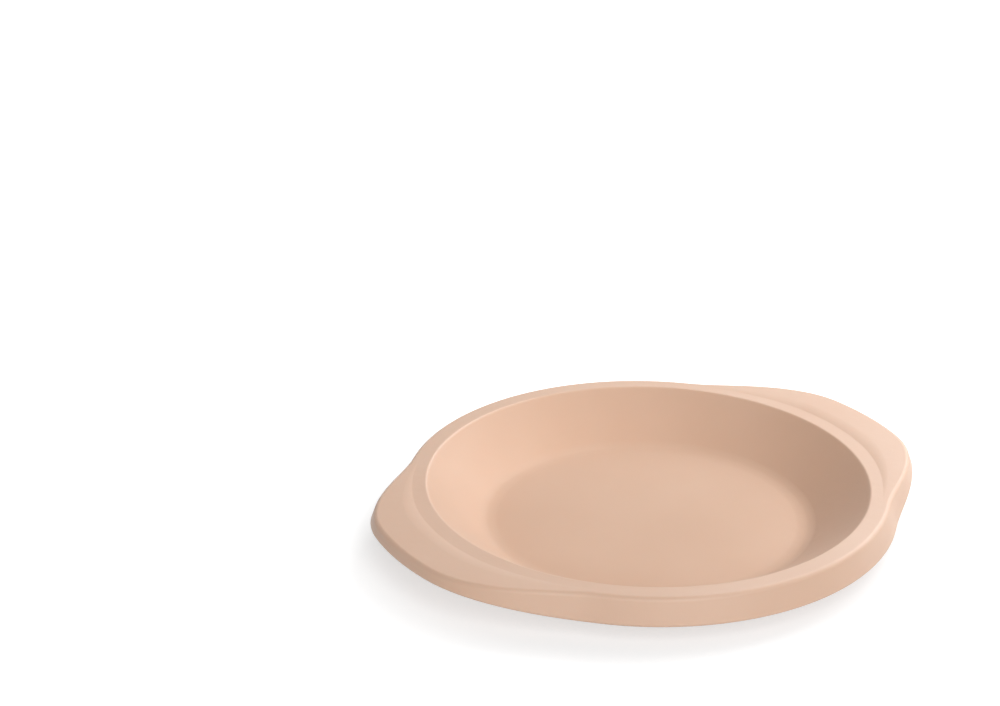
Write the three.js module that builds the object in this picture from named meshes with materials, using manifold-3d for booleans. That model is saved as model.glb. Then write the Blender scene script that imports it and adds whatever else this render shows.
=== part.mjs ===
// Round bread mould of soft silicone: a shallow bowl with a thick rim round its mouth, which widens into
// two handle lobes, and a skirt that hangs from the rim. A ring of steel wire inside the rim keeps the
// mouth round. Millimetres, +Z up, handles along X, standing on z = 0.
import * as THREE from 'three';
import { mergeVertices } from 'three/addons/utils/BufferGeometryUtils.js';
import Module from 'manifold-3d';

const wasm = await Module();
wasm.setup();

// Bowl
const WALL = 3;
const MOUTH_RADIUS = 115;
const BOWL_DEPTH = 23;
const FLOOR_RADIUS = 80.5;
const FLOOR_CROWN = 2.5;
const FLOOR_CROWN_POWER = 4;
const COVE_WIDTH = 5.5;
const COVE_LIFT = 1.1;
const COVE_ROUND = 20;

// Foot under the bowl
const FOOT_WIDTH = 14;
const FOOT_ROUND = 6;
const RECESS_SLOPE = 4;

// Rim round the mouth, whose top falls outwards by a few degrees
const RIM_WIDTH = 10.1;
const RIM_TILT = 3;
const LIP_ROUND = 1.6;
const EDGE_ROUND = 2.9;

// Handle lobes, whose tops rise softly out of a groove in the rim's top
const HANDLE_REACH = 22.2;
const HANDLE_CREST_ANGLE = 9.9;
const HANDLE_ROOT_ANGLE = 44.8;
const GROOVE_INSET = 8;
const SLOPE_WIDTH = 8;
const SLOPE_RISE = 0.75;
const HANDLE_FALL = 0.6;

// Where the groove and its slope run out, level with the rim's top between the handles
const FOLD_INSET = 6;
const FOLD_WIDTH = 1;

// Skirt
const SKIRT_DEPTH = 14.3;
const SKIRT_FLARE = 4.5;
const HANDLE_SKIRT_DEPTH = 6.2;
const HANDLE_SKIRT_FLARE = 2.4;
const SKIRT_EDGE_ROUND = 1.1;
const INNER_ROUND = 1.5;

// Steel hoop inside the rim, and the holes left by the pins that held it while the silicone was shot
const HOOP_INSET = 3.65;
const HOOP_WIRE = 4;
const HOOP_COVER = 2;
const HOOP_CLEARANCE = 0.3;
const LOCATOR_HOLES = 12;
const LOCATOR_DIAMETER = 3;

// Facets
const AZIMUTH_STEPS = 96;
const HOOP_STEPS = 72;
const WIRE_SIDES = 8;
const HOLE_SIDES = 10;
const SLOPE_STEPS = 4;
const MERGE_GAP = 1e-4;

// Share of a side that a round may take, alone on it or beside another round
const FULL_SIDE = 0.98;
const HALF_SIDE = 0.5;

// Rings of facets on the crowned floor and under it, as shares of the radius
const FLOOR_RINGS = [1, 0.86, 0.7, 0.45, 0];
const RECESS_RINGS = [0, 0.5, 1];

// Heights above the table
const FLOOR_EDGE_Z = WALL;
const LIP_Z = FLOOR_EDGE_Z + BOWL_DEPTH;
const RIM_FALL = Math.tan(THREE.MathUtils.degToRad(RIM_TILT));
const TUNNEL_RADIUS = HOOP_WIRE / 2 + HOOP_CLEARANCE;
const HOOP_Z = LIP_Z - HOOP_INSET * RIM_FALL - HOOP_COVER - TUNNEL_RADIUS;
const RIM_UNDERSIDE_Z = HOOP_Z - TUNNEL_RADIUS - HOOP_COVER;

// Radii of the hoop and of the rim's outer edge where the rim is narrowest
const HOOP_RADIUS = MOUTH_RADIUS + HOOP_INSET;
const WAIST_RADIUS = MOUTH_RADIUS + RIM_WIDTH;

const SILICONE = new THREE.MeshStandardMaterial({ color: 0xdcb9a1, roughness: 0.72, metalness: 0 });
const STEEL = new THREE.MeshStandardMaterial({ color: 0xc4c6c8, roughness: 0.35, metalness: 1 });

const point = (r, z) => new THREE.Vector2(r, z);

// How far a direction lies inside a handle lobe: 1 over the crest of the lobe, 0 between the lobes.
function handleShare(azimuth) {
  const fromCrest = Math.acos(Math.min(1, Math.abs(Math.cos(azimuth))));
  const crest = THREE.MathUtils.degToRad(HANDLE_CREST_ANGLE);
  const root = THREE.MathUtils.degToRad(HANDLE_ROOT_ANGLE);
  return 1 - THREE.MathUtils.smoothstep(fromCrest, crest, root);
}

// Height of the crowned floor: level in the middle and rolling off towards its edge.
function floorHeight(radius) {
  return FLOOR_EDGE_Z + FLOOR_CROWN * (1 - (radius / FLOOR_RADIUS) ** FLOOR_CROWN_POWER);
}

// Point of the rim's top at a distance outside the lip.
function rimTop(inset) {
  return point(MOUTH_RADIUS + inset, LIP_Z - inset * RIM_FALL);
}

// Rounds one corner of an outline with an arc, which takes at most half of a side that ends in another round.
function rounded(corners, i) {
  const { at: corner, round, steps } = corners[i];
  const back = corners[i - 1].at.clone().sub(corner);
  const ahead = corners[i + 1].at.clone().sub(corner);
  const halfAngle = back.angleTo(ahead) / 2;
  const backRoom = back.length() * (corners[i - 1].round ? HALF_SIDE : FULL_SIDE);
  const aheadRoom = ahead.length() * (corners[i + 1].round ? HALF_SIDE : FULL_SIDE);
  const reach = Math.min(round / Math.tan(halfAngle), backRoom, aheadRoom);
  const start = corner.clone().addScaledVector(back.normalize(), reach);
  const end = corner.clone().addScaledVector(ahead.normalize(), reach);
  const toCentre = back.add(ahead).normalize();
  const arcRadius = reach * Math.tan(halfAngle);
  const centre = corner.clone().addScaledVector(toCentre, reach / Math.cos(halfAngle));
  const first = start.sub(centre);
  const last = end.sub(centre);
  const sweep = Math.atan2(first.cross(last), first.dot(last));
  const arc = [];
  for (let i = 0; i <= steps; i += 1) {
    const angle = first.angle() + (sweep * i) / steps;
    arc.push(point(centre.x + arcRadius * Math.cos(angle), centre.y + arcRadius * Math.sin(angle)));
  }
  return arc;
}

// Line of the bowl's wall, from the toe above the floor to the lip, and the same line on the outer side.
function wallLines() {
  const toe = point(FLOOR_RADIUS + COVE_WIDTH, FLOOR_EDGE_Z + COVE_LIFT);
  const lip = point(MOUTH_RADIUS, LIP_Z);
  const along = lip.clone().sub(toe).normalize();
  const outward = point(along.y, -along.x).multiplyScalar(WALL);
  const outerToe = toe.clone().add(outward);
  const outerAt = (z) => point(outerToe.x + ((z - outerToe.y) * along.x) / along.y, z);
  return { toe, lip, outerAt };
}

// The slope at one handle share, from its outer end in to the groove: level between the handles, and at a
// handle steepest beside the groove.
function slope(share) {
  const points = [];
  for (let i = SLOPE_STEPS; i >= 0; i -= 1) {
    const way = i / SLOPE_STEPS;
    const level = rimTop(FOLD_INSET + FOLD_WIDTH * way);
    const raised = rimTop(GROOVE_INSET).add(point(SLOPE_WIDTH * way, SLOPE_RISE * way * (2 - way)));
    points.push(level.lerp(raised, share));
  }
  return points;
}

// Cross-section of the moulding for one handle share, from the middle of the underside, round the skirt
// and over the rim, down to the middle of the floor. Every share gives the same number of points.
function section(share) {
  const mix = (waist, handle) => THREE.MathUtils.lerp(waist, handle, share);
  const { toe, lip, outerAt } = wallLines();

  const footOuter = outerAt(0);
  const footInner = footOuter.x - FOOT_WIDTH;
  const recessRadius = footInner - RECESS_SLOPE;

  const handleEdgeZ = rimTop(GROOVE_INSET).y + SLOPE_RISE - HANDLE_FALL;
  const skirtTop = WAIST_RADIUS + mix(0, HANDLE_REACH);
  const skirtBottom = skirtTop + mix(SKIRT_FLARE, HANDLE_SKIRT_FLARE);
  const skirtZ = LIP_Z - mix(SKIRT_DEPTH, HANDLE_SKIRT_DEPTH);
  const edge = point(skirtTop, mix(rimTop(RIM_WIDTH).y, handleEdgeZ));
  const flangeUndersideZ = mix(RIM_UNDERSIDE_Z, handleEdgeZ - WALL);
  const housingSide = WAIST_RADIUS - WALL;

  const underside = RECESS_RINGS.map((part) => recessRadius * part);
  const floor = FLOOR_RINGS.map((part) => FLOOR_RADIUS * part);
  const corners = [
    ...underside.map((radius) => ({ at: point(radius, floorHeight(radius) - WALL) })),
    { at: point(footInner, 0) },
    { at: footOuter, round: FOOT_ROUND, steps: 3 },
    { at: outerAt(RIM_UNDERSIDE_Z), round: INNER_ROUND, steps: 1 },
    { at: point(housingSide - INNER_ROUND, RIM_UNDERSIDE_Z) },
    { at: point(housingSide - INNER_ROUND / 2, flangeUndersideZ) },
    { at: point(skirtTop - WALL, flangeUndersideZ), round: INNER_ROUND, steps: 1 },
    { at: point(skirtBottom - WALL, skirtZ), round: SKIRT_EDGE_ROUND, steps: 1 },
    { at: point(skirtBottom, skirtZ), round: SKIRT_EDGE_ROUND, steps: 1 },
    { at: edge, round: EDGE_ROUND, steps: 4 },
    ...slope(share).map((at) => ({ at })),
    { at: lip, round: LIP_ROUND, steps: 2 },
    { at: toe, round: COVE_ROUND, steps: 3 },
    ...floor.map((radius) => ({ at: point(radius, floorHeight(radius)) })),
  ];

  return corners.flatMap((corner, i) => (corner.round ? rounded(corners, i) : [corner.at]));
}

// A closed solid from a geometry whose seams are open: shared vertices are merged and flat triangles dropped.
function solidOf(geometry) {
  const bare = geometry.clone();
  bare.deleteAttribute('normal');
  bare.deleteAttribute('uv');
  const merged = mergeVertices(bare, MERGE_GAP);
  const index = merged.index.array;
  const kept = [];
  for (let i = 0; i < index.length; i += 3) {
    const [a, b, c] = index.slice(i, i + 3);
    if (a !== b && b !== c && c !== a) kept.push(a, b, c);
  }
  const triVerts = new Uint32Array(kept);
  const vertProperties = new Float32Array(merged.attributes.position.array);
  return new wasm.Manifold(new wasm.Mesh({ numProp: 3, vertProperties, triVerts }));
}

function geometryOf(solid) {
  const mesh = solid.getMesh();
  const geometry = new THREE.BufferGeometry();
  geometry.setAttribute('position', new THREE.Float32BufferAttribute(mesh.vertProperties, 3));
  geometry.setIndex([...mesh.triVerts]);
  geometry.computeVertexNormals();
  return geometry;
}

// Ring of round wire, lying level at the height of the hoop.
function wireRing(wireRadius) {
  const profile = [];
  for (let i = 0; i <= WIRE_SIDES; i += 1) {
    const angle = (2 * Math.PI * (i % WIRE_SIDES)) / WIRE_SIDES;
    const radius = HOOP_RADIUS + wireRadius * Math.cos(angle);
    profile.push(point(radius, HOOP_Z + wireRadius * Math.sin(angle)));
  }
  return solidOf(new THREE.LatheGeometry(profile, HOOP_STEPS).rotateX(Math.PI / 2));
}

// The moulding: a revolved section whose outer rim is reshaped at each azimuth by its handle share.
function shellBody() {
  const lathe = new THREE.LatheGeometry(section(0), AZIMUTH_STEPS);
  const position = lathe.attributes.position;
  const count = section(0).length;
  for (let i = 0; i <= AZIMUTH_STEPS; i += 1) {
    const azimuth = (2 * Math.PI * (i % AZIMUTH_STEPS)) / AZIMUTH_STEPS;
    section(handleShare(azimuth)).forEach((p, j) => {
      position.setXYZ(i * count + j, p.x * Math.cos(azimuth), p.x * Math.sin(azimuth), p.y);
    });
  }
  return solidOf(lathe);
}

// Holes from the underside of the rim up into the tunnel of the hoop.
function locatorHoles() {
  const radius = LOCATOR_DIAMETER / 2;
  const bottom = RIM_UNDERSIDE_Z - HOOP_COVER;
  const depth = HOOP_Z - bottom;
  const holes = [];
  for (let i = 0; i < LOCATOR_HOLES; i += 1) {
    const azimuth = (2 * Math.PI * (i + 0.5)) / LOCATOR_HOLES;
    const hole = new THREE.CylinderGeometry(radius, radius, depth, HOLE_SIDES);
    hole.rotateX(Math.PI / 2);
    hole.translate(HOOP_RADIUS * Math.cos(azimuth), HOOP_RADIUS * Math.sin(azimuth), bottom + depth / 2);
    holes.push(solidOf(hole));
  }
  return holes;
}

const cuts = [wireRing(TUNNEL_RADIUS), ...locatorHoles()];
const shell = cuts.reduce((body, cut) => body.subtract(cut), shellBody());

const siliconeShell = new THREE.Mesh(geometryOf(shell), SILICONE);
siliconeShell.name = 'silicone_shell';

const rimHoop = new THREE.Mesh(geometryOf(wireRing(HOOP_WIRE / 2)), STEEL);
rimHoop.name = 'rim_hoop';

const mould = new THREE.Group();
mould.add(siliconeShell, rimHoop);

export default mould;
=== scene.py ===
"""Looks of a round silicone bread mould: its moulded shell, the wire hoop in its rim and a studio.

The file is laid out as an add-on and run as a script. Lengths are in metres, in the frame of the packed part:
+X runs through both handle lobes, +Z is up and the foot stands on z = 0.
"""

import math
from typing import NamedTuple

import bmesh
import bpy
from bpy.props import FloatProperty, FloatVectorProperty, IntProperty, PointerProperty
from bpy.types import Operator, Panel, PropertyGroup
from mathutils import Matrix, Vector


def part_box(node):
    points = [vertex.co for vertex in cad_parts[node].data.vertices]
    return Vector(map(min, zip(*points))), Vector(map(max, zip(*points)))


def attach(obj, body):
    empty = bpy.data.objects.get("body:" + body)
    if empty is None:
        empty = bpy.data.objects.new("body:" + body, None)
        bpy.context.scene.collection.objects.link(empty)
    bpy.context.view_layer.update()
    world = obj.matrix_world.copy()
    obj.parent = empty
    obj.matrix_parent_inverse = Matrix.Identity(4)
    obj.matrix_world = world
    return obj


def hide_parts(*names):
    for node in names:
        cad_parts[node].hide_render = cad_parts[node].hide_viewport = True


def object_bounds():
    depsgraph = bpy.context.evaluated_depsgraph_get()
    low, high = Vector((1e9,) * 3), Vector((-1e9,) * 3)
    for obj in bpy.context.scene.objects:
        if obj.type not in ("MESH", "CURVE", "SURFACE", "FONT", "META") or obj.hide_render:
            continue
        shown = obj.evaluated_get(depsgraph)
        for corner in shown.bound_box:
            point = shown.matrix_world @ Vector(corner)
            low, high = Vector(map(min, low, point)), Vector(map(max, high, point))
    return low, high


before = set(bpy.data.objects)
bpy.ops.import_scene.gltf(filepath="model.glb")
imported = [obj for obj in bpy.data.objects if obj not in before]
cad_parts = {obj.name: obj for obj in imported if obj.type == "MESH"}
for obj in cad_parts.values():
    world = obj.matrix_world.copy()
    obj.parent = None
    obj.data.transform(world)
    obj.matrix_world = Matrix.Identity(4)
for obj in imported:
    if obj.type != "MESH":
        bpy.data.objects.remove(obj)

bl_info = {
    "name": "Silicone Bread Mould",
    "version": (1, 0, 0),
    "blender": (4, 5, 0),
    "location": "View3D > Sidebar > Bread Mould",
    "description": "Models a round silicone bread mould with handle lobes and lights it in a white studio",
    "category": "Object",
}

# What the packed frame gives
CAD_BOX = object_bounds()
HOOP_LOW, HOOP_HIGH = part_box("rim_hoop")

# Facets of the round forms
SPIN_STEPS = 240
FLOOR_RINGS = 16
RECESS_RINGS = 8
SLOPE_STEPS = 10
WIRE_SIDES = 20
HOLE_SIDES = 24

# Segments of the section's rounds, and the bevel profile that makes them arcs
CREASE_SEGMENTS = 6
COVE_SEGMENTS = 8
LIP_SEGMENTS = 7
EDGE_SEGMENTS = 8
SKIRT_EDGE_SEGMENTS = 5
INNER_SEGMENTS = 4
FOOT_SEGMENTS = 6
ROUND_PROFILE = 0.5

# Share of a side that a round may take when the side's other end has none
FULL_SIDE = 0.98

# Power of the radius by which the crowned floor falls
CROWN_POWER = 4

# Points nearer than this are one, and edges that turn by more than this stay sharp
MERGE_DISTANCE = 1e-6
SHARP_ANGLE = math.radians(38)

# Octaves of each noise
GRAIN_DETAIL = 2
PEEL_DETAIL = 1
DRIFT_DETAIL = 3
LINE_DETAIL = 3
STAIN_DETAIL = 2

# Part of a noise's range over which one colour runs into the other
RAMP_START = 0.3
RAMP_END = 0.7

# Width of the camera's sensor in millimetres
SENSOR_WIDTH = 36

# Watts of an area lamp that light a surface 1 m in front of it as much as a sun of strength 1
AREA_WATTS = 4

# Layer that holds how far each point of the section moves where a handle is full
HANDLE_LAYER = "to_handle"


def length(name, description, default):
    """A size in metres, shown in the scene's units."""
    return FloatProperty(name=name, description=description, default=default, min=0, precision=5,
                         unit='LENGTH')


def angle(name, description, degrees):
    """An angle, given in degrees and kept in radians."""
    return FloatProperty(name=name, description=description, default=math.radians(degrees), subtype='ANGLE')


def number(name, description, default):
    """A plain number."""
    return FloatProperty(name=name, description=description, default=default)


def colour(name, description, default):
    """A linear colour."""
    return FloatVectorProperty(name=name, description=description, default=default, size=3, min=0, max=1,
                               subtype='COLOR')


class BowlSizes(PropertyGroup):
    """Sizes of the bowl and of the foot that it stands on."""

    wall: length("Wall", "Thickness of the silicone", 0.003)
    mouth_radius: length("Mouth radius", "Radius of the lip round the mouth", 0.115)
    depth: length("Depth", "Height of the lip over the edge of the floor", 0.023)
    floor_radius: length("Floor radius", "Radius of the crease round the floor", 0.0805)
    floor_crown: length("Floor crown", "Rise of the floor in its middle", 0.0025)
    crease_round: length("Crease round", "Radius where the floor runs into the cove", 0.02)
    cove_width: length("Cove width", "Width of the cove between floor and wall", 0.0055)
    cove_lift: length("Cove lift", "Rise of the cove across its width", 0.0011)
    cove_round: length("Cove round", "Radius where the cove runs into the wall", 0.02)
    foot_width: length("Foot width", "Width of the flat ring under the bowl", 0.014)
    foot_round: length("Foot round", "Radius between the foot and the outer wall", 0.006)
    recess_slope: length("Recess slope", "Width of the slope from the foot up to the recess", 0.004)


class RimSizes(PropertyGroup):
    """Sizes of the rim round the mouth, of the handle lobes that it widens into and of the skirt."""

    width: length("Rim width", "Width of the rim between the handles", 0.0101)
    tilt: angle("Rim tilt", "How steeply the rim's top falls outwards", 3)
    lip_round: length("Lip round", "Radius between the rim's top and the bowl's wall", 0.0016)
    edge_round: length("Edge round", "Radius of the rim's outer edge", 0.0029)
    handle_reach: length("Handle reach", "How far a handle lobe reaches past the round rim", 0.0222)
    crest_angle: angle("Crest angle", "Half of the angle over which a lobe has its full reach", 9.9)
    root_angle: angle("Root angle", "Half of the angle over which a lobe leaves the round rim", 44.8)
    groove_inset: length("Groove inset", "Distance from the lip to the groove before a handle", 0.008)
    slope_width: length("Slope width", "Width of the slope from that groove up to the handle's top", 0.008)
    slope_rise: length("Slope rise", "Height of that slope", 0.00075)
    handle_fall: length("Handle fall", "Fall of a handle's top towards its edge", 0.0006)
    fold_inset: length("Fold inset", "Distance from the lip to where the groove runs out", 0.006)
    fold_width: length("Fold width", "Width that the slope shrinks to there", 0.001)
    skirt_depth: length("Skirt depth", "Height of the skirt between the handles", 0.0143)
    skirt_flare: length("Skirt flare", "How far the skirt leans out between the handles", 0.0045)
    handle_skirt_depth: length("Handle skirt depth", "Height of the skirt at a handle's tip", 0.0062)
    handle_skirt_flare: length("Handle skirt flare", "How far the skirt leans out at a handle's tip", 0.0024)
    skirt_edge_round: length("Skirt edge round", "Radius of the skirt's lower edge", 0.0011)
    inner_round: length("Inner round", "Radius of the corners under the rim", 0.0015)


class HoopSizes(PropertyGroup):
    """Sizes of the wire hoop inside the rim and of the holes that its locating pins leave."""

    wire: length("Wire", "Diameter of the wire", HOOP_HIGH.z - HOOP_LOW.z)
    radius: length("Radius", "Radius of the hoop to the middle of its wire",
                   HOOP_HIGH.x - (HOOP_HIGH.z - HOOP_LOW.z) / 2)
    height: length("Height", "Height of the middle of the wire", (HOOP_HIGH.z + HOOP_LOW.z) / 2)
    clearance: length("Clearance", "Gap round the wire", 0.0003)
    cover: length("Cover", "Silicone over and under the wire's tunnel", 0.002)
    hole_count: IntProperty(name="Holes", description="Number of locating holes", default=12, min=0)
    hole_diameter: length("Hole diameter", "Diameter of a locating hole", 0.003)
    weld_length: length("Weld length", "Length of the upset where the wire's ends are welded", 0.003)
    weld_swell: length("Weld swell", "Height of that upset", 0.00018)


class Finishes(PropertyGroup):
    """Colours, grain and gloss of the two materials."""

    silicone: colour("Silicone", "Main colour of the silicone", (0.775, 0.519, 0.377))
    silicone_drift: colour("Silicone drift", "Colour that the silicone drifts to", (0.75, 0.493, 0.352))
    grain: length("Grain", "Spacing of the mould's fine grain", 0.0005)
    grain_strength: number("Grain strength", "How strongly the grain tilts the light", 0.35)
    grain_height: length("Grain height", "Height of the grain", 0.00012)
    peel: length("Peel", "Spacing of the soft ripple under the grain", 0.006)
    peel_strength: number("Peel strength", "How strongly the ripple tilts the light", 0.2)
    peel_height: length("Peel height", "Height of the ripple", 0.0004)
    drift: length("Drift", "Spacing of the slow changes of tone", 0.07)
    smoothest: number("Smoothest", "Least roughness of the silicone", 0.44)
    roughest: number("Roughest", "Greatest roughness of the silicone", 0.56)
    matt_radius: length("Matt radius", "Radius inside which the bowl has a more matt finish", 0.1135)
    matt_fade: length("Matt fade", "Width over which that finish changes into the rim's", 0.0015)
    bowl_gloss: number("Bowl gloss", "Specular level of the bowl", 0.2)
    rim_gloss: number("Rim gloss", "Specular level of the rim and skirt", 1)
    index: number("Index", "Refractive index of the silicone", 1.41)
    sheen: number("Sheen", "Weight of the silicone's sheen", 0.08)
    sheen_roughness: number("Sheen roughness", "Roughness of that sheen", 0.5)
    glow_through: number("Glow through", "Weight of the light that wanders through the silicone", 0.12)
    glow_depth: length("Glow depth", "How far that light wanders", 0.003)
    glow_share: colour("Glow share", "Share of that depth for each colour of light", (1, 0.5, 0.3))
    steel: colour("Steel", "Colour of the hoop's drawn wire", (0.55, 0.56, 0.57))
    steel_line: colour("Steel line", "Colour of the drawing lines in the wire", (0.42, 0.43, 0.44))
    line: length("Line", "Spacing of the drawing lines", 0.00015)
    line_strength: number("Line strength", "How strongly the drawing lines tilt the light", 0.3)
    line_height: length("Line height", "Height of the drawing lines", 0.00002)
    stain: length("Stain", "Spacing of the duller places on the wire", 0.012)
    steel_smoothest: number("Steel smoothest", "Least roughness of the wire", 0.24)
    steel_roughest: number("Steel roughest", "Greatest roughness of the wire", 0.42)


class Studio(PropertyGroup):
    """Camera, lamps and floor."""

    camera_place: FloatVectorProperty(name="Camera place", description="Where the camera stands",
                                      default=(-0.7043, -0.9824, 0.6326), size=3, subtype='TRANSLATION')
    camera_turn: angle("Camera turn", "Heading of the camera, from +Y towards -X", -32)
    camera_tilt: angle("Camera tilt", "How far the camera looks down", 23.93)
    camera_roll: angle("Camera roll", "Turn of the camera about its line of sight", 0.14)
    lens: number("Lens", "Focal length of the camera in millimetres", 93.6)
    key_turn: angle("Key turn", "Heading of the soft box, from +X towards +Y", 15)
    key_lift: angle("Key lift", "Height of the soft box over the horizon", 36)
    key_distance: length("Key distance", "Distance of the soft box from the middle of the mould", 1.3)
    key_size: length("Key size", "Side of the soft box", 1)
    key_strength: number("Key strength", "Light of the soft box on the mould's middle", 2.15)
    fill_turn: angle("Fill turn", "Heading of the fill light, from +X towards +Y", -112)
    fill_lift: angle("Fill lift", "Height of the fill light over the horizon", 38)
    fill_spread: angle("Fill spread", "Width of the fill light as the mould sees it", 45)
    fill_strength: number("Fill strength", "Light of the fill light on the mould", 1.9)
    ambient: number("Ambient", "Strength of the light from all round", 0.08)
    paper: colour("Paper", "Colour of the floor", (0.85, 0.85, 0.85))
    paper_shade: colour("Paper shade", "How strongly the camera sees light and shadow on the floor",
                        (0.47, 0.47, 0.47))
    # Painted shade: the floor's glow is dimmed beside the mould and rises to plain white between the two half
    # widths below
    painted_shade_glow: number("Paper glow", "Added brightness of the floor beside the mould", 0.63)
    painted_shade_fade_start: number("Glow start", "Half widths of the mould at which the floor starts to turn white", 0.92)
    painted_shade_fade_end: number("Glow end", "Half widths of the mould at which the floor is plain white", 1.32)
    floor_size: length("Floor size", "Side of the floor", 12)


# Shapes

class Corner(NamedTuple):
    """Corner of the moulding's section, with the radius of its round and the round's segments."""

    place: Vector
    radius: float = 0
    segments: int = 0


def handle_share(rim, azimuth):
    """How far a direction lies inside a handle lobe: 1 over the lobe's crest, 0 between the lobes."""
    from_crest = math.acos(min(1, abs(math.cos(azimuth))))
    way = (from_crest - rim.crest_angle) / (rim.root_angle - rim.crest_angle)
    way = min(1, max(0, way))
    return 1 - way * way * (3 - 2 * way)


def floor_height(bowl, radius):
    """Height of the crowned floor, level in its middle and rolling off towards its edge."""
    return bowl.wall + bowl.floor_crown * (1 - (radius / bowl.floor_radius) ** CROWN_POWER)


def outer_wall(bowl, toe, lip, height):
    """Point of the bowl's outer wall at a height, a wall's thickness outside the line from toe to lip."""
    along = (lip - toe).normalized()
    outer_toe = toe + bowl.wall * Vector((along.z, 0, -along.x))
    return outer_toe + along * ((height - outer_toe.z) / along.z)


def section_corners(bowl, rim, hoop, share):
    """Corners of the moulding's section at one handle share.

    They run from the middle of the underside, round the skirt and over the rim, to the middle of the floor.
    """

    def mix(waist, handle):
        return waist + (handle - waist) * share

    def at(radius, height):
        return Vector((radius, 0, height))

    lip = at(bowl.mouth_radius, bowl.wall + bowl.depth)
    toe = at(bowl.floor_radius + bowl.cove_width, bowl.wall + bowl.cove_lift)
    housing_height = hoop.height - hoop.wire / 2 - hoop.clearance - hoop.cover
    foot_outer = outer_wall(bowl, toe, lip, 0)
    recess_radius = foot_outer.x - bowl.foot_width - bowl.recess_slope

    waist_radius = bowl.mouth_radius + rim.width

    def rim_top(inset):
        return at(bowl.mouth_radius + inset, lip.z - inset * math.tan(rim.tilt))

    groove = rim_top(rim.groove_inset)
    slope = []
    for i in range(SLOPE_STEPS, -1, -1):
        way = i / SLOPE_STEPS
        level = rim_top(rim.fold_inset + rim.fold_width * way)
        raised = groove + at(rim.slope_width * way, rim.slope_rise * way * (2 - way))
        slope.append(Corner(level.lerp(raised, share)))
    handle_edge_height = groove.z + rim.slope_rise - rim.handle_fall
    skirt_top = waist_radius + mix(0, rim.handle_reach)
    skirt_foot = skirt_top + mix(rim.skirt_flare, rim.handle_skirt_flare)
    skirt_height = lip.z - mix(rim.skirt_depth, rim.handle_skirt_depth)
    edge = at(skirt_top, mix(rim_top(rim.width).z, handle_edge_height))
    flange_underside = mix(housing_height, handle_edge_height - bowl.wall)
    housing_side = waist_radius - bowl.wall

    corners = []
    for i in range(RECESS_RINGS + 1):
        radius = recess_radius * i / RECESS_RINGS
        corners.append(Corner(at(radius, floor_height(bowl, radius) - bowl.wall)))
    corners += [
        Corner(at(foot_outer.x - bowl.foot_width, 0)),
        Corner(foot_outer, bowl.foot_round, FOOT_SEGMENTS),
        Corner(outer_wall(bowl, toe, lip, housing_height), rim.inner_round, INNER_SEGMENTS),
        Corner(at(housing_side - rim.inner_round, housing_height)),
        Corner(at(housing_side - rim.inner_round / 2, flange_underside)),
        Corner(at(skirt_top - bowl.wall, flange_underside), rim.inner_round, INNER_SEGMENTS),
        Corner(at(skirt_foot - bowl.wall, skirt_height), rim.skirt_edge_round, SKIRT_EDGE_SEGMENTS),
        Corner(at(skirt_foot, skirt_height), rim.skirt_edge_round, SKIRT_EDGE_SEGMENTS),
        Corner(edge, rim.edge_round, EDGE_SEGMENTS),
        *slope,
        Corner(lip, rim.lip_round, LIP_SEGMENTS),
        Corner(toe, bowl.cove_round, COVE_SEGMENTS),
        Corner(at(bowl.floor_radius, bowl.wall), bowl.crease_round, CREASE_SEGMENTS),
    ]
    for i in range(FLOOR_RINGS - 1, -1, -1):
        radius = bowl.floor_radius * i / FLOOR_RINGS
        corners.append(Corner(at(radius, floor_height(bowl, radius))))
    return corners


def rounding_reach(corners, i):
    """How far from a corner its round starts, which is at most half of a side that two rounds share."""
    corner = corners[i]
    room = []
    sides = []
    for beside in (corners[i - 1], corners[i + 1]):
        side = beside.place - corner.place
        sides.append(side)
        room.append(side.length / 2 if beside.radius else side.length * FULL_SIDE)
    return min(corner.radius / math.tan(sides[0].angle(sides[1]) / 2), *room)


def section_wire(corners):
    """A wire through the corners with each round bevelled into it, and its vertices in order."""
    bm = bmesh.new()
    bm.verts.layers.float_vector.new(HANDLE_LAYER)
    verts = [bm.verts.new(corner.place) for corner in corners]
    for before, after in zip(verts, verts[1:]):
        bm.edges.new((before, after))
    first = verts[0]
    for i, corner in enumerate(corners):
        if corner.radius:
            reach = rounding_reach(corners, i)
            bmesh.ops.bevel(bm, geom=[verts[i]], offset=reach, offset_type='OFFSET', segments=corner.segments,
                            profile=ROUND_PROFILE, affect='VERTICES', material=-1)
    ordered = [first]
    edge = first.link_edges[0]
    while edge:
        vert = edge.other_vert(ordered[-1])
        ordered.append(vert)
        edge = next((other for other in vert.link_edges if other is not edge), None)
    return bm, ordered


def spin_round(bm):
    """Spins everything in the mesh into a closed body of revolution about +Z."""
    bmesh.ops.spin(bm, geom=bm.verts[:] + bm.edges[:], cent=(0, 0, 0), axis=(0, 0, 1), dvec=(0, 0, 0),
                   angle=2 * math.pi, steps=SPIN_STEPS, use_merge=True, use_normal_flip=False,
                   use_duplicate=False)
    bmesh.ops.remove_doubles(bm, verts=bm.verts[:], dist=MERGE_DISTANCE)


def shell_body(bowl, rim, hoop):
    """The moulding: a spun section whose rim is drawn out into the handle lobes."""
    bm, waist = section_wire(section_corners(bowl, rim, hoop, 0))
    handle_bm, handle = section_wire(section_corners(bowl, rim, hoop, 1))
    to_handle = bm.verts.layers.float_vector[HANDLE_LAYER]
    for vert, goal in zip(waist, handle, strict=True):
        vert[to_handle] = goal.co - vert.co
    handle_bm.free()
    spin_round(bm)
    for vert in bm.verts:
        azimuth = math.atan2(vert.co.y, vert.co.x)
        move = vert[to_handle] * handle_share(rim, azimuth)
        vert.co += Matrix.Rotation(azimuth, 3, 'Z') @ move
    bm.verts.layers.float_vector.remove(to_handle)
    bmesh.ops.recalc_face_normals(bm, faces=bm.faces[:])
    return bm


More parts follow.
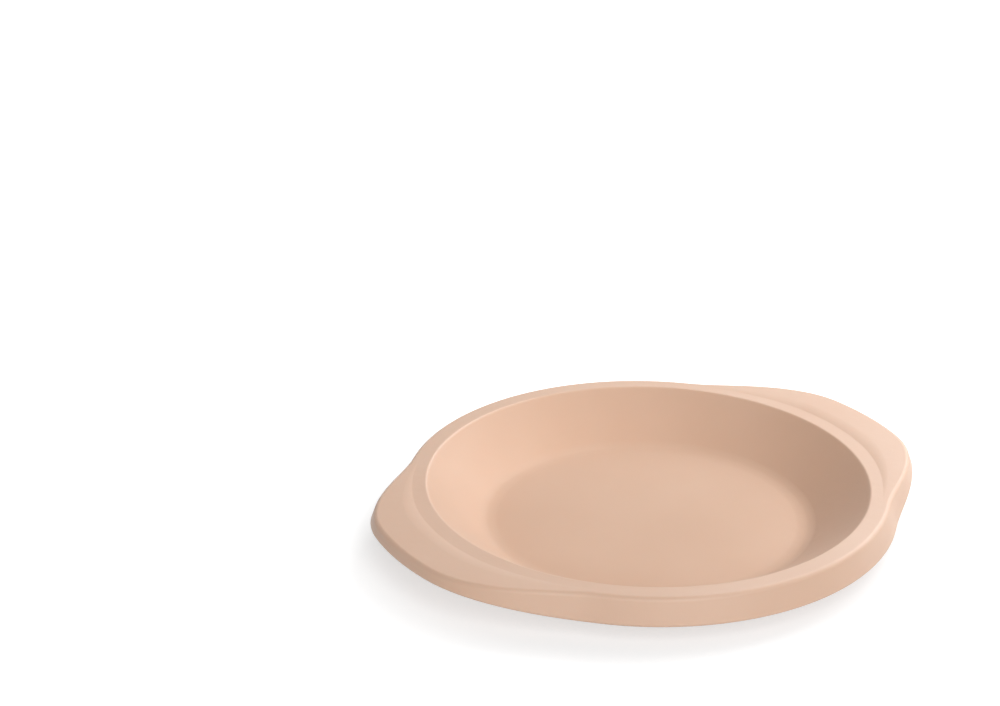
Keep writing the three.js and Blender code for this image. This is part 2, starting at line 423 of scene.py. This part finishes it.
def wire_ring(hoop, wire_radius):
    """A closed ring of round wire at the hoop's radius and height."""
    bm = bmesh.new()
    place = Matrix.Translation((hoop.radius, 0, hoop.height)) @ Matrix.Rotation(math.pi / 2, 4, 'X')
    bmesh.ops.create_circle(bm, segments=WIRE_SIDES, radius=wire_radius, matrix=place)
    spin_round(bm)
    bmesh.ops.recalc_face_normals(bm, faces=bm.faces[:])
    return bm


def locating_holes(hoop):
    """Round cutters from under the rim up into the tunnel of the hoop."""
    bm = bmesh.new()
    tunnel_radius = hoop.wire / 2 + hoop.clearance
    bottom = hoop.height - tunnel_radius - 2 * hoop.cover
    depth = hoop.height - bottom
    for i in range(hoop.hole_count):
        turn = Matrix.Rotation(2 * math.pi * (i + 0.5) / hoop.hole_count, 4, 'Z')
        place = turn @ Matrix.Translation((hoop.radius, 0, bottom + depth / 2))
        bmesh.ops.create_cone(bm, cap_ends=True, segments=HOLE_SIDES, radius1=hoop.hole_diameter / 2,
                              radius2=hoop.hole_diameter / 2, depth=depth, matrix=place)
    return bm


def swell_weld(bm, hoop):
    """Raises the upset ring of a butt weld where the wire's ends meet, at the back of the hoop."""
    half_angle = hoop.weld_length / 2 / hoop.radius
    middle = Vector((0, hoop.radius, hoop.height))
    for vert in bm.verts:
        turn = math.atan2(vert.co.y, vert.co.x) - math.pi / 2
        if abs(turn) < half_angle:
            core = Matrix.Rotation(turn, 3, 'Z') @ middle
            rise = math.cos(turn / half_angle * math.pi / 2)
            vert.co += (vert.co - core).normalized() * hoop.weld_swell * rise


# Objects

def new_object(name, bm):
    """Links a new object at the origin that holds the mesh."""
    mesh = bpy.data.meshes.new(name)
    bm.to_mesh(mesh)
    bm.free()
    made = bpy.data.objects.new(name, mesh)
    bpy.context.scene.collection.objects.link(made)
    return made


def apply_modifier(piece, modifier):
    """Puts a modifier's result in the place of a piece's mesh."""
    depsgraph = bpy.context.evaluated_depsgraph_get()
    made = bpy.data.meshes.new_from_object(piece.evaluated_get(depsgraph), preserve_all_data_layers=True,
                                           depsgraph=depsgraph)
    if not made.polygons:
        raise RuntimeError("a modifier left nothing of " + piece.name)
    piece.modifiers.remove(modifier)
    old_mesh = piece.data
    piece.data = made
    bpy.data.meshes.remove(old_mesh)
    made.name = piece.name


def cut_away(piece, cutter_bm):
    """Cuts the body of a mesh out of a piece for good."""
    cutter = new_object("cutter", cutter_bm)
    modifier = piece.modifiers.new("cut", 'BOOLEAN')
    modifier.operation = 'DIFFERENCE'
    modifier.solver = 'EXACT'
    modifier.object = cutter
    apply_modifier(piece, modifier)
    bpy.data.meshes.remove(cutter.data)


def shade_smooth(piece):
    """Shades a piece smooth apart from its sharp edges, and keeps flat faces flat beside their rounds."""
    bm = bmesh.new()
    bm.from_mesh(piece.data)
    for face in bm.faces:
        face.smooth = True
    for edge in bm.edges:
        edge.smooth = len(edge.link_faces) == 2 and edge.calc_face_angle() < SHARP_ANGLE
    bm.to_mesh(piece.data)
    bm.free()
    modifier = piece.modifiers.new("weigh", 'WEIGHTED_NORMAL')
    modifier.keep_sharp = True
    apply_modifier(piece, modifier)


# Materials

def new_nodes(owner):
    """Clears the owner's nodes and gives a function that adds one and a function that links two sockets."""
    owner.use_nodes = True
    tree = owner.node_tree
    tree.nodes.clear()

    def add(kind, **settings):
        node = tree.nodes.new(kind)
        for name, value in settings.items():
            setattr(node, name, value)
        return node

    return add, tree.links.new


def noise(add, link, place, spacing, detail):
    """A noise on object coordinates whose features are about that far apart."""
    node = add('ShaderNodeTexNoise')
    node.inputs['Scale'].default_value = 1 / spacing
    node.inputs['Detail'].default_value = detail
    link(place, node.inputs['Vector'])
    return node.outputs['Fac']


def axis_distance(add, link, place):
    """Distance of a place from the upright axis through the mould's middle."""
    level = add('ShaderNodeVectorMath', operation='MULTIPLY')
    level.inputs[1].default_value = (1, 1, 0)
    link(place, level.inputs[0])
    radius = add('ShaderNodeVectorMath', operation='LENGTH')
    link(level.outputs['Vector'], radius.inputs[0])
    return radius.outputs['Value']


def ramp(add, link, factor, first, second):
    """A colour that runs from the first to the second over the middle of a noise's range."""
    node = add('ShaderNodeValToRGB')
    start, end = node.color_ramp.elements
    start.position = RAMP_START
    start.color = (*first, 1)
    end.position = RAMP_END
    end.color = (*second, 1)
    link(factor, node.inputs['Fac'])
    return node.outputs['Color']


def map_range(add, link, value, source, target, interpolation='LINEAR'):
    """A value taken from one range to another and kept within it."""
    node = add('ShaderNodeMapRange', interpolation_type=interpolation)
    for name, limit in zip(('From Min', 'From Max', 'To Min', 'To Max'), (*source, *target)):
        node.inputs[name].default_value = limit
    link(value, node.inputs['Value'])
    return node.outputs['Result']


def bump(add, link, height, strength, distance):
    """A bump node that tilts the light by a height."""
    node = add('ShaderNodeBump')
    node.inputs['Strength'].default_value = strength
    node.inputs['Distance'].default_value = distance
    link(height, node.inputs['Height'])
    return node


def silicone_material(finishes):
    """Matt silicone with a fine moulded grain, a soft ripple and slow changes of tone."""
    material = bpy.data.materials.new("matt_silicone")
    add, link = new_nodes(material)
    place = add('ShaderNodeTexCoord').outputs['Object']
    grain = noise(add, link, place, finishes.grain, GRAIN_DETAIL)
    peel = noise(add, link, place, finishes.peel, PEEL_DETAIL)
    drift = noise(add, link, place, finishes.drift, DRIFT_DETAIL)

    tone = ramp(add, link, drift, finishes.silicone, finishes.silicone_drift)
    ripple = bump(add, link, peel, finishes.peel_strength, finishes.peel_height)
    texture = bump(add, link, grain, finishes.grain_strength, finishes.grain_height)
    link(ripple.outputs['Normal'], texture.inputs['Normal'])

    roughness = map_range(add, link, drift, (0, 1), (finishes.smoothest, finishes.roughest))
    matt_end = finishes.matt_radius + finishes.matt_fade
    gloss = map_range(add, link, axis_distance(add, link, place), (finishes.matt_radius, matt_end),
                      (finishes.bowl_gloss, finishes.rim_gloss), 'SMOOTHSTEP')

    shader = add('ShaderNodeBsdfPrincipled')
    shader.inputs['IOR'].default_value = finishes.index
    shader.inputs['Subsurface Weight'].default_value = finishes.glow_through
    shader.inputs['Subsurface Radius'].default_value = finishes.glow_share
    shader.inputs['Subsurface Scale'].default_value = finishes.glow_depth
    shader.inputs['Sheen Weight'].default_value = finishes.sheen
    shader.inputs['Sheen Roughness'].default_value = finishes.sheen_roughness
    link(tone, shader.inputs['Base Color'])
    link(roughness, shader.inputs['Roughness'])
    link(gloss, shader.inputs['Specular IOR Level'])
    link(texture.outputs['Normal'], shader.inputs['Normal'])
    output = add('ShaderNodeOutputMaterial')
    link(shader.outputs['BSDF'], output.inputs['Surface'])
    return material


def steel_material(finishes):
    """Bright drawn wire, with fine lines round the hoop where the die has drawn it."""
    material = bpy.data.materials.new("drawn_steel")
    add, link = new_nodes(material)
    place = add('ShaderNodeTexCoord').outputs['Object']
    parts = add('ShaderNodeSeparateXYZ')
    link(place, parts.inputs['Vector'])
    across = add('ShaderNodeCombineXYZ')
    link(axis_distance(add, link, place), across.inputs['X'])
    link(parts.outputs['Z'], across.inputs['Y'])
    lines = noise(add, link, across.outputs['Vector'], finishes.line, LINE_DETAIL)
    stain = noise(add, link, place, finishes.stain, STAIN_DETAIL)

    roughness = map_range(add, link, stain, (0, 1), (finishes.steel_smoothest, finishes.steel_roughest))
    scratches = bump(add, link, lines, finishes.line_strength, finishes.line_height)
    tone = ramp(add, link, lines, finishes.steel, finishes.steel_line)

    shader = add('ShaderNodeBsdfPrincipled')
    shader.inputs['Metallic'].default_value = 1
    link(tone, shader.inputs['Base Color'])
    link(roughness, shader.inputs['Roughness'])
    link(scratches.outputs['Normal'], shader.inputs['Normal'])
    output = add('ShaderNodeOutputMaterial')
    link(shader.outputs['BSDF'], output.inputs['Surface'])
    return material


def seen_directly(add, link):
    """1 on rays from the camera and on the glossy and transmitted rays that show the same background."""
    path = add('ShaderNodeLightPath')
    glossy = add('ShaderNodeMath', operation='MAXIMUM')
    link(path.outputs['Is Camera Ray'], glossy.inputs[0])
    link(path.outputs['Is Glossy Ray'], glossy.inputs[1])
    either = add('ShaderNodeMath', operation='MAXIMUM')
    link(glossy.outputs['Value'], either.inputs[0])
    link(path.outputs['Is Transmission Ray'], either.inputs[1])
    return either.outputs['Value']


def paper_material(studio):
    """White paper that keeps the mould's shadow, with painted shade round the mould: the camera sees its glow
    dimmed there, which deepens that shadow, and plain white beyond it.
    """
    material = bpy.data.materials.new("studio_paper")
    add, link = new_nodes(material)
    matt = add('ShaderNodeBsdfDiffuse')
    matt.inputs['Color'].default_value = (*studio.paper, 1)
    shade = add('ShaderNodeBsdfDiffuse')
    shade.inputs['Color'].default_value = (*studio.paper_shade, 1)
    # Painted shade: the glow is dimmed inside a ring round the mould, measured in the mould's half widths,
    # and rises to plain white beyond it
    half_widths = add('ShaderNodeVectorMath', operation='DIVIDE')
    half_widths.inputs[1].default_value = (CAD_BOX[1].x, CAD_BOX[1].y, 1)
    link(add('ShaderNodeTexCoord').outputs['Object'], half_widths.inputs[0])
    distance = add('ShaderNodeVectorMath', operation='LENGTH')
    link(half_widths.outputs['Vector'], distance.inputs[0])
    brightness = map_range(add, link, distance.outputs['Value'], (studio.painted_shade_fade_start, studio.painted_shade_fade_end),
                           (studio.painted_shade_glow, 1), 'SMOOTHSTEP')
    glow = add('ShaderNodeEmission')
    link(brightness, glow.inputs['Strength'])
    bright = add('ShaderNodeAddShader')
    link(shade.outputs['BSDF'], bright.inputs[0])
    link(glow.outputs['Emission'], bright.inputs[1])
    chosen = add('ShaderNodeMixShader')
    link(seen_directly(add, link), chosen.inputs['Fac'])
    link(matt.outputs['BSDF'], chosen.inputs[1])
    link(bright.outputs['Shader'], chosen.inputs[2])
    output = add('ShaderNodeOutputMaterial')
    link(chosen.outputs['Shader'], output.inputs['Surface'])
    return material


def light_world(studio):
    """White behind the floor, and an even light of its own strength on the mould."""
    world = bpy.data.worlds.new("white_studio")
    add, link = new_nodes(world)
    even = add('ShaderNodeBackground')
    even.inputs['Strength'].default_value = studio.ambient
    even.inputs['Color'].default_value = (1, 1, 1, 1)
    white = add('ShaderNodeBackground')
    white.inputs['Color'].default_value = (1, 1, 1, 1)
    chosen = add('ShaderNodeMixShader')
    link(seen_directly(add, link), chosen.inputs['Fac'])
    link(even.outputs['Background'], chosen.inputs[1])
    link(white.outputs['Background'], chosen.inputs[2])
    output = add('ShaderNodeOutputWorld')
    link(chosen.outputs['Shader'], output.inputs['Surface'])
    bpy.context.scene.world = world


# Studio

def add_lamp(lamp, turn, lift, distance):
    """Hangs a lamp at a heading, height and distance from the origin, which it faces."""
    made = bpy.data.objects.new(lamp.name, lamp)
    bpy.context.scene.collection.objects.link(made)
    level = math.cos(lift)
    away = Vector((math.cos(turn) * level, math.sin(turn) * level, math.sin(lift)))
    made.location = away * distance
    made.rotation_euler = away.to_track_quat('Z', 'Y').to_euler()
    made.visible_camera = False


def add_lights(studio):
    """A soft box beside the mould, and a broad fill from far off on the camera's side."""
    key = bpy.data.lights.new("soft_box", 'AREA')
    key.size = studio.key_size
    key.energy = studio.key_strength * AREA_WATTS * studio.key_distance ** 2
    add_lamp(key, studio.key_turn, studio.key_lift, studio.key_distance)
    fill = bpy.data.lights.new("fill", 'SUN')
    fill.angle = studio.fill_spread
    fill.energy = studio.fill_strength
    add_lamp(fill, studio.fill_turn, studio.fill_lift, studio.floor_size)


def add_camera(studio):
    """The camera at the photograph's place and angle."""
    camera = bpy.data.cameras.new("camera")
    camera.sensor_width = SENSOR_WIDTH
    camera.lens = studio.lens
    made = bpy.data.objects.new("camera", camera)
    bpy.context.scene.collection.objects.link(made)
    heading = Matrix.Rotation(studio.camera_turn, 4, 'Z')
    tilt = Matrix.Rotation(math.pi / 2 - studio.camera_tilt, 4, 'X')
    roll = Matrix.Rotation(studio.camera_roll, 4, 'Z')
    made.matrix_world = Matrix.Translation(studio.camera_place) @ heading @ tilt @ roll
    bpy.context.scene.camera = made


class MOULD_OT_silicone_shell(Operator):
    """Model the silicone moulding with its bowl, rim, handle lobes and skirt"""

    bl_idname = "mould.silicone_shell"
    bl_label = "Silicone Shell"

    def execute(self, context):
        scene = context.scene
        hoop = scene.mould_hoop
        shell = new_object("moulded_shell", shell_body(scene.mould_bowl, scene.mould_rim, hoop))
        cut_away(shell, wire_ring(hoop, hoop.wire / 2 + hoop.clearance))
        cut_away(shell, locating_holes(hoop))
        shade_smooth(shell)
        shell.data.materials.clear()
        shell.data.materials.append(silicone_material(scene.mould_finishes))
        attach(shell, "root")
        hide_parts("silicone_shell")
        return {'FINISHED'}


class MOULD_OT_rim_hoop(Operator):
    """Model the steel hoop that lies inside the rim"""

    bl_idname = "mould.rim_hoop"
    bl_label = "Rim Hoop"

    def execute(self, context):
        scene = context.scene
        hoop = scene.mould_hoop
        bm = wire_ring(hoop, hoop.wire / 2)
        swell_weld(bm, hoop)
        ring = new_object("wire_hoop", bm)
        shade_smooth(ring)
        ring.data.materials.append(steel_material(scene.mould_finishes))
        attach(ring, "root")
        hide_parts("rim_hoop")
        return {'FINISHED'}


class MOULD_OT_studio(Operator):
    """Lay the white floor and set the lamps and the camera"""

    bl_idname = "mould.studio"
    bl_label = "Studio"

    def execute(self, context):
        studio = context.scene.mould_studio
        bm = bmesh.new()
        bmesh.ops.create_grid(bm, x_segments=1, y_segments=1, size=studio.floor_size / 2)
        floor = new_object("studio_floor", bm)
        floor.data.materials.append(paper_material(studio))
        light_world(studio)
        add_lights(studio)
        add_camera(studio)
        context.scene.view_settings.view_transform = 'Standard'
        return {'FINISHED'}


class MOULD_PT_maker(Panel):
    """Lists the mould's sizes, finishes and makers"""

    bl_idname = "MOULD_PT_maker"
    bl_label = "Bread Mould"
    bl_space_type = 'VIEW_3D'
    bl_region_type = 'UI'
    bl_category = "Bread Mould"

    def draw(self, context):
        layout = self.layout
        for maker in MAKERS:
            layout.operator(maker.bl_idname)
        for attribute, group in GROUPS.items():
            box = layout.box()
            box.label(text=group.__doc__)
            for name in group.__annotations__:
                box.prop(getattr(context.scene, attribute), name)


GROUPS = {
    "mould_bowl": BowlSizes,
    "mould_rim": RimSizes,
    "mould_hoop": HoopSizes,
    "mould_finishes": Finishes,
    "mould_studio": Studio,
}
MAKERS = (MOULD_OT_silicone_shell, MOULD_OT_rim_hoop, MOULD_OT_studio)


def register():
    for group in GROUPS.values():
        bpy.utils.register_class(group)
    for maker in MAKERS:
        bpy.utils.register_class(maker)
    bpy.utils.register_class(MOULD_PT_maker)
    for attribute, group in GROUPS.items():
        setattr(bpy.types.Scene, attribute, PointerProperty(type=group))


def unregister():
    for attribute in GROUPS:
        delattr(bpy.types.Scene, attribute)
    bpy.utils.unregister_class(MOULD_PT_maker)
    for maker in reversed(MAKERS):
        bpy.utils.unregister_class(maker)
    for group in reversed(GROUPS.values()):
        bpy.utils.unregister_class(group)


def main():
    register()
    bpy.ops.mould.silicone_shell()
    bpy.ops.mould.rim_hoop()
    bpy.ops.mould.studio()


if __name__ == "__main__":
    main()
